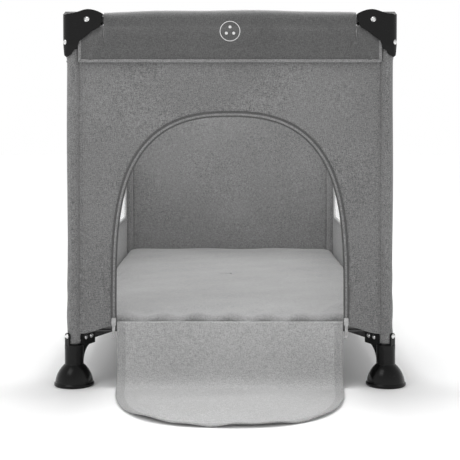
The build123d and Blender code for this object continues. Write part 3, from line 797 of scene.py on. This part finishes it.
def door_flap():
    """The flap: a soft panel with a bound edge, hanging from its hem and lying on the floor."""
    arch = superellipse(FLAP_HALF, FLAP_LONG, 121)
    base = np.column_stack([np.linspace(-FLAP_HALF, FLAP_HALF, 42)[1:-1], np.zeros(40)])
    outline = np.concatenate([arch, base])
    centre = np.array([0, 0.42 * FLAP_LONG])
    shares = np.concatenate([np.linspace(0.02, 0.90, 24), np.linspace(0.925, 1.0, 6)])
    rings = centre + (outline - centre)[None] * shares[:, None, None]
    flap = make("door_flap", [np.concatenate([rings, np.zeros((*rings.shape[:2], 1))], axis=2)],
                [FLAP], around=True)
    with editing(flap.data) as bm:
        middle = [e for e in bm.edges if e.is_boundary and abs(e.verts[0].co.y - centre[1]) < 0.03
                  and abs(e.verts[0].co.x) < 0.03]
        bmesh.ops.holes_fill(bm, edges=middle, sides=0)
    radius, start, end = flap_line()
    bends = [start + radius * radians(22.5), start + radius * radians(67.5)]
    for s in bends:
        slice_mesh(flap, (0, s, 0), (0, 1, 0))
    flat = np.array([v.co for v in flap.data.vertices], float)
    edge = np.min(np.linalg.norm(flat[:, None, :2] - arch[None], axis=2), axis=1)
    x, s = flat[:, 0], flat[:, 1]
    far = smooth(s, end + 0.02, end + 0.12)
    binding = 0.0011 * (1 - smooth(edge, BINDING_WIDTH - 0.0015, BINDING_WIDTH + 0.0005))
    groove = -0.0007 * bump(edge, BINDING_WIDTH + 0.0012, 0.0014)
    roll = (0.0035 + 0.0022 * np.sin(34 * x) + 0.0014 * np.sin(81 * x + 1.0)) * bump(edge, 0, 0.010)
    waves = 0.0016 * (np.sin(15 * x + 9 * s) + 1) * smooth(edge, 0.01, 0.05) * smooth(s, 0.0, 0.06)
    flat[:, 2] = 0.0008 + binding + groove + roll * far + waves * (0.25 + 0.75 * far)
    laid = lay_flap(flat)
    flap.data.vertices.foreach_set("co", laid.reshape(-1))
    marks = []
    for polygon in flap.data.polygons:
        along = np.mean([flat[v, 1] for v in polygon.vertices])
        rim = np.mean([edge[v] for v in polygon.vertices]) < BINDING_WIDTH
        marks.append(2 * int(np.searchsorted(bends, along)) + int(rim))
    for index in range(5):
        flap.data.materials.append(FLAP)
    flap.data.polygons.foreach_set("material_index", marks)
    layer = flap.modifiers.new("cloth", "SOLIDIFY")
    layer.thickness, layer.offset = FLAP_THICK, 0
    bake(flap)
    found, _ = regions(flap)
    names = ("door_upper", "door_bend", "door_tip")
    parts = [(f"{name}_cloth", found // 2 == index) for index, name in enumerate(names)]
    lengths = np.diff([0, *bends, FLAP_LONG])
    pieces = cut(flap, parts, [FLAP, FLAP_EDGE], closed=True)
    for piece, name, length, share in zip(pieces, names, lengths, (1.0, 1.0, ROUNDED_SHARE)):
        finish_soft(piece, name, [name], slot="door_fabric", **side_fold("front"))


# ---- Padded covers over the rails ----
SKIRT_LOW = COVER_LOW[2]
SHOULDER = COVER_HIGH[2] - 0.032
ENDS = {
    "front": ("half_rail_front_left", "latch_front", "half_rail_front_right"),
    "rear": ("half_rail_rear_right", "latch_rear", "half_rail_rear_left"),
    "left": ("half_rail_left_rear", "latch_left", "half_rail_left_front"),
    "right": ("half_rail_right_front", "latch_right", "half_rail_right_rear"),
}


def cover_width(x, z, half):
    """A cover's half width: full in the middle of its height, creased, drawn in at its ends."""
    rise = np.clip((z - SKIRT_LOW) / (SHOULDER - SKIRT_LOW), 0, 1)
    full = 0.0050 * np.sin(pi * rise ** 1.4) ** 0.8 - 0.001 - 0.0015 * (1 - rise)
    flutter = (0.0013 * np.sin(23 * x + 1) + 0.0010 * np.sin(61 * x)) * (1 - rise)
    quilt = 0.0009 * np.sin(37 * x + 30 * z) * np.sin(pi * rise)
    pulls = 0.0011 * bump(x - 0.075 - 0.5 * (z - SKIRT_LOW), 0.0, 0.007) * np.sin(pi * rise)
    pulls = pulls + 0.0010 * bump(x + 0.060 + 0.3 * (z - SKIRT_LOW), 0.0, 0.008) * np.sin(pi * rise)
    drawn = 0.0012 * smooth(np.abs(x), half - 0.03, half)
    return COVER_HALF_WIDTH + full + flutter + quilt + pulls - drawn


def cover_section(x, half):
    """One section of a cover: inner skirt, crown, outer skirt, as (outward, height)."""
    up = np.linspace(SKIRT_LOW, SHOULDER, 15)
    turns = np.linspace(0, pi, 21)[1:-1]
    crown = COVER_HIGH[2] - 0.0045 * (x / half) ** 2 + 0.0007 * np.sin(31 * x)
    width = cover_width(x, np.array([SHOULDER]), half)[0]
    over = width * np.sign(np.cos(turns)) * np.abs(np.cos(turns)) ** 0.70
    high = SHOULDER + (crown - SHOULDER) * np.sin(turns) ** 0.75
    skirt = cover_width(x, up, half)
    return np.concatenate([np.stack([-skirt, up], axis=1),
                           np.stack([-over, high], axis=1),
                           np.stack([skirt[::-1], up[::-1]], axis=1)])


def skirt_end(sign, face, half, reach):
    """The skirt's flap below a corner cap, which runs on towards the post."""
    xs = np.linspace(half, reach, 12)
    rise = np.linspace(0, 1, 15)[:, None]
    top = SHOULDER - 0.026 * smooth(xs, half + 0.014, reach)
    z = SKIRT_LOW + (top[None] - SKIRT_LOW) * rise
    under = smooth(rise, 0.62, 0.95) * smooth(xs, half, half + 0.006)[None]
    wide = np.array([cover_width(half, z[:, i], half) for i in range(12)]).T
    share = (xs[None] - half) / (reach - half)
    pleat = 0.0030 * bump(share * 1.2 + (rise - 0.75), 0.0, 0.16) * (1 - under)
    out = wide * (1 - under) + (COVER_HALF_WIDTH - 0.002) * under + pleat - 0.002 * share
    return np.stack([sign * (xs[None] + 0 * z), -face * out, z], axis=-1)


def rail_cover(side):
    """A cover in three lengths: one over each half rail, one over the latch between them."""
    half = {"front": COVER_HIGH[0], "rear": COVER_HIGH[0]}.get(side, COVER_SIDE_HALF)
    reach = HALF_SPAN[side] - SLEEVE_RADIUS
    inside = reach - 0.012
    middle = np.linspace(-LATCH_HALF, LATCH_HALF, 13)
    wing = np.linspace(LATCH_HALF, half, int((half - LATCH_HALF) / 0.009))[1:]
    xs = np.concatenate([-wing[::-1], middle, wing])
    sections = np.array([cover_section(x, half) for x in xs])
    shell = np.stack([xs[:, None] + 0 * sections[..., 0], -sections[..., 0], sections[..., 1]], axis=-1)
    patches = [place(shell, side)]
    for sign in (-1, 1):
        for face, end in ((1, reach), (-1, inside)):
            patches.append(place(skirt_end(sign, face, half, end), side))
    cloth = COVER["X" if side in ("front", "rear") else "Y"]
    cover = make(f"{side}_cover", patches, [cloth])
    with editing(cover.data) as bm:
        bmesh.ops.remove_doubles(bm, verts=bm.verts, dist=2e-4)
        bmesh.ops.recalc_face_normals(bm, faces=bm.faces)
    layer = cover.modifiers.new("cloth", "SOLIDIFY")
    layer.thickness, layer.offset = CLOTH, -1
    bake(cover)
    trims(side, half, reach, inside, xs, cover)
    _, centres = regions(cover)
    along = centres @ side_direction(side)
    names = [f"{side}_cover_{part}" for part in ("one", "middle", "two")]
    tests = [along < -LATCH_HALF, np.abs(along) <= LATCH_HALF, along > LATCH_HALF]
    pieces = cut(cover, list(zip(names, tests)), [cloth, PIPING])
    nodes = [f"rail_cover_{side}"]
    for piece, body in zip(pieces, ENDS[side]):
        finish_soft(piece, body, nodes, slot="cover_fabric")
        if body.startswith("half_rail"):
            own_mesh(piece)
        nodes = []


def side_direction(side):
    """The row direction of a side's own X."""
    return place([[1.0, 0, 0]], side)[0] - place([[0.0, 0, 0]], side)[0]


def trims(side, half, reach, inside, xs, cover):
    """Join piping along the lower edges, and bindings at the skirt's ends, to a cover's mesh."""
    patches = []
    round_edge = [(-0.0030, -0.0016), (-0.0034, 0.0012), (-0.0018, 0.0030), (0.0008, 0.0034),
                  (0.0028, 0.0022), (0.0034, -0.0002)]
    for face, end in ((1, reach), (-1, inside)):
        tail = np.linspace(half, end, 12)[1:]
        line = np.concatenate([-tail[::-1], xs, tail])
        out = cover_width(np.clip(line, -half, half), np.full(len(line), SKIRT_LOW), half)
        share = np.clip((np.abs(line) - half) / (end - half), 0, 1)
        low = np.full(len(line), SKIRT_LOW + 0.002)
        path = np.column_stack([line, low, face * (out - 0.002 * share)])
        patches.append(strip(path, [(a, face * b) for a, b in round_edge], side))
        for sign in (-1, 1):
            edge = skirt_end(sign, face, half, end)[:, -1]
            path = np.column_stack([edge[:, 0], edge[:, 2], -edge[:, 1]])
            band = [(-0.0030, 0.0002), (-0.0024, 0.0014), (0.0024, 0.0014), (0.0032, 0.0)]
            patches.append(strip(path, [(a, face * b) for a, b in band], side))
    extra = make(f"{side}_cover_trim", patches, [PIPING])
    with editing(cover.data) as bm:
        first = len(bm.faces)
        bm.from_mesh(extra.data)
        bm.faces.ensure_lookup_table()
        for face in bm.faces[first:]:
            face.material_index = 1
    cover.data.materials.append(PIPING)
    bpy.data.objects.remove(extra)


def badge():
    """A plain printed ring with three dots in it, on the front cover."""
    middle = np.array([0, SKIRT_LOW + 0.061])
    turns = np.linspace(0, 2 * pi, 65)

    def on_cover(radii, centre=middle):
        """A band between two radii, laid on the cover's front."""
        rows = []
        for radius in radii:
            x = centre[0] + radius * np.cos(turns)
            z = centre[1] + radius * np.sin(turns)
            out = cover_width(x, z, COVER_HIGH[0]) + 0.0006
            rows.append(np.stack([x, -out, z], axis=1))
        return place(np.array(rows), "front")

    ring = on_cover([0.0192, 0.0206])
    dots = []
    for turn in (90, 210, 330):
        spot = middle + 0.0085 * np.array([cos(radians(turn)), sin(radians(turn))])
        dots.append(on_cover([0.0002, 0.0016, 0.0030], centre=spot))
    piece = make("badge_ring", [ring, *dots], [WHITE_PRINT])
    finish_soft(piece, "latch_front", slot="cover_fabric")


# ---- Mattress and floor panel ----
def swell(obj, frames=20, pressure=4.0, cap=0.005):
    """Inflate a closed mesh as cloth, with no gravity, and keep each point's swelling outward."""
    rest = np.array([v.co for v in obj.data.vertices], float)
    outward = np.array([v.normal for v in obj.data.vertices], float)
    cloth = obj.modifiers.new("fill", "CLOTH")
    cloth.settings.use_pressure = True
    cloth.settings.uniform_pressure_force = pressure
    cloth.settings.effector_weights.gravity = 0
    cloth.settings.quality = 4
    cloth.point_cache.frame_start, cloth.point_cache.frame_end = 1, frames
    for step in range(1, frames + 1):
        bpy.context.scene.frame_set(step)
    bake(obj)
    moved = np.array([v.co for v in obj.data.vertices], float) - rest
    rise = np.clip((moved * outward).sum(axis=1), 0, cap)[:, None]
    obj.data.vertices.foreach_set("co", (rest + outward * rise).reshape(-1))
    even = obj.modifiers.new("even", "SMOOTH")
    even.factor, even.iterations = 0.5, 6
    bake(obj)
    bpy.context.scene.frame_set(1)


def wrinkle(points):
    """Slack cloth over foam: a low dome, wrinkles near the edges and a few long pulls."""
    x, y, z = points.T
    top = smooth(z, MATTRESS_LOW[2] + 0.012, MATTRESS_HIGH[2] - 0.003)
    near = POST_Y + y
    rim = np.minimum(POST_X - np.abs(x), POST_Y - np.abs(y))
    dome = 0.0035 * smooth(rim, 0.0, 0.16)
    ripples = 0.0030 * np.sin(88 * x + 5 * np.sin(14 * y)) * bump(near, 0.01, 0.06)
    pulls = 0.0022 * bump(np.sin(5.2 * x + 7.1 * y + 0.4), 1.0, 0.10) * smooth(rim, 0.01, 0.08)
    folds = 0.0026 * bump(x - 0.17 - 0.5 * near, 0.0, 0.016) * bump(near, 0.12, 0.13)
    second = 0.0020 * bump(x + 0.12 + 0.3 * near, 0.0, 0.020) * bump(near, 0.16, 0.12)
    slack = 0.0008 * np.sin(31 * x + 17 * y) + 0.0006 * np.sin(53 * y - 23 * x)
    return np.stack([x, y, z + top * (dome + ripples - pulls + folds + second + slack)], axis=1)


def mattress():
    """The foam mattress in its cover, in four lengths that go with the four base bars."""
    pad = shape_of("mattress", "mattress_pad")
    mesh = pad.modifiers.new("even", "REMESH")
    mesh.mode, mesh.voxel_size = "VOXEL", 0.008
    bake(pad)
    middle = (np.array(MATTRESS_LOW) + np.array(MATTRESS_HIGH)) / 2
    shape = np.array([v.co for v in pad.data.vertices], float)
    size = np.array(MATTRESS_HIGH) - np.array(MATTRESS_LOW)
    shape = middle + (shape - middle) * (1 - 0.004 / size)
    pad.data.vertices.foreach_set("co", shape.reshape(-1))
    swell(pad)
    layer = pad.modifiers.new("smooth", "SUBSURF")
    layer.levels = 1
    bake(pad)
    shape = wrinkle(np.array([v.co for v in pad.data.vertices], float))
    pad.data.vertices.foreach_set("co", shape.reshape(-1))
    quarter(pad, "mattress", "mattress", [MATTRESS], "mattress_fabric")


def floor_panel():
    """The coated cloth floor that the base bars carry."""
    low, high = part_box("floor_panel")
    x, y = np.meshgrid(np.linspace(low[0], high[0], 41), np.linspace(low[1], high[1], 61))
    z = (low[2] + high[2]) / 2 - 0.0006 * np.sin(12 * x) * np.sin(9 * y)
    notch = np.hypot(POST_X - np.abs(x), POST_Y - np.abs(y)) < SLEEVE_RADIUS + 0.004
    x = np.where(notch, np.sign(x) * (POST_X - SLEEVE_RADIUS), x)
    y = np.where(notch, np.sign(y) * (POST_Y - SLEEVE_RADIUS), y)
    panel = make("floor_cloth", [np.stack([x, y, z], axis=-1)], [UNDERSIDE], thick=0.0018)
    quarter(panel, "floor", "floor_panel", [UNDERSIDE], "floor_fabric")


def quarter(obj, name, node, materials, slot):
    """Cut a floor piece in four, each going with a bar."""
    slice_mesh(obj, (0, 0, 0), (1, 0, 0))
    slice_mesh(obj, (0, 0, 0), (0, 1, 0))
    obj.data.polygons.foreach_set("use_smooth", [True] * len(obj.data.polygons))
    _, centres = regions(obj)
    parts = []
    for corner, (side_x, side_y) in CORNERS.items():
        chosen = (centres[:, 0] * side_x > 0) & (centres[:, 1] * side_y > 0)
        parts.append((f"{name}_{corner}", chosen))
    pieces = cut(obj, parts, materials, closed=True)
    nodes = [node]
    for piece, (corner, (side_x, side_y)) in zip(pieces, CORNERS.items()):
        axis = JOINTS["fold"]["axis"]
        lateral = (-side_x * axis[0], -side_y * axis[1], 0)
        finish_soft(piece, f"bar_{corner}", nodes, axis=lateral,
                    anchor=(side_x * POST_X, side_y * POST_Y, 0), keep=0.06, slot=slot)
        nodes = []


# ---- Stage, lights and camera ----
def studio():
    """A pale floor that glows with painted light further from the object, soft lights and the camera at
    the door end.
    """
    bpy.ops.mesh.primitive_plane_add(size=30)
    ground = bpy.context.object
    ground.name = "studio_floor"
    paper = Nodes("studio_paper", 0.9)
    paper.drive("Base Color", paper.noise(3.0), [(0.3, grey(0.93)), (0.7, grey(0.95))])
    paper.shader.inputs["Specular IOR Level"].default_value = 0.1
    # Painted light: the floor glows more the further it lies from the object, up to 0.35, so it reads
    # white far off while the shade near the object stays dark.
    painted_glow_distance = paper.node("ShaderNodeVectorMath", operation="LENGTH")
    paper.link(paper.coords, painted_glow_distance.inputs[0])
    reach = paper.node("ShaderNodeMapRange")
    for socket, value in (("From Min", 0.9), ("From Max", 2.2), ("To Min", 0.0), ("To Max", 0.35)):
        reach.inputs[socket].default_value = value
    paper.link(painted_glow_distance.outputs["Value"], reach.inputs["Value"])
    paper.shader.inputs["Emission Color"].default_value = (1, 1, 1, 1)
    paper.link(reach.outputs["Result"], paper.shader.inputs["Emission Strength"])
    ground.data.materials.append(paper.material)
    scene = bpy.context.scene
    scene.world = bpy.data.worlds.new("studio")
    scene.world.use_nodes = True
    world = scene.world.node_tree
    background = world.nodes["Background"]
    toward = world.nodes.new("ShaderNodeTexCoord")
    split = world.nodes.new("ShaderNodeSeparateXYZ")
    sky = world.nodes.new("ShaderNodeValToRGB")
    sky.color_ramp.elements[0].position = 0.15
    sky.color_ramp.elements[0].color = (1, 1, 1, 1)
    sky.color_ramp.elements[1].color = (0.50, 0.50, 0.50, 1)
    world.links.new(toward.outputs["Generated"], split.inputs[0])
    world.links.new(split.outputs["Z"], sky.inputs["Fac"])
    world.links.new(sky.outputs["Color"], background.inputs["Color"])
    background.inputs["Strength"].default_value = 1.0
    lamps = {
        "key": ((-1.6, -2.2, 3.0), (42, 0, -34), 1.6, 16),
        "top": ((0, 0.2, 3.2), (0, 0, 0), 1.6, 20),
        "rim": ((0, 1.3, 2.6), (-46, 0, 0), 1.0, 26),
        "inside": ((0, -0.35, 1.75), (38, 0, 0), 0.5, 19),
    }
    for name, (spot, turn, size, power) in lamps.items():
        light = bpy.data.lights.new(name, "AREA")
        light.size, light.energy = size, power
        lamp = bpy.data.objects.new(name, light)
        lamp.location = spot
        lamp.rotation_euler = [radians(a) for a in turn]
        scene.collection.objects.link(lamp)
    camera = bpy.data.objects.new("camera", bpy.data.cameras.new("camera"))
    camera.data.lens = 85
    camera.data.sensor_width = 36
    camera.data.shift_y = -0.20
    camera.location = (0, -POST_Y - 2.20, 0.534)
    camera.rotation_euler = (radians(90 - 0.85), 0, 0)
    scene.collection.objects.link(camera)
    scene.camera = camera
    scene.view_settings.view_transform = "Standard"


dress_cad_nodes()
front_wall()
rear_wall()
side_wall("left")
side_wall("right")
post_sleeves()
door_zip()
zip_sliders()
door_flap()
for rim in HALF_SPAN:
    rail_cover(rim)
badge()
floor_panel()
mattress()
studio()
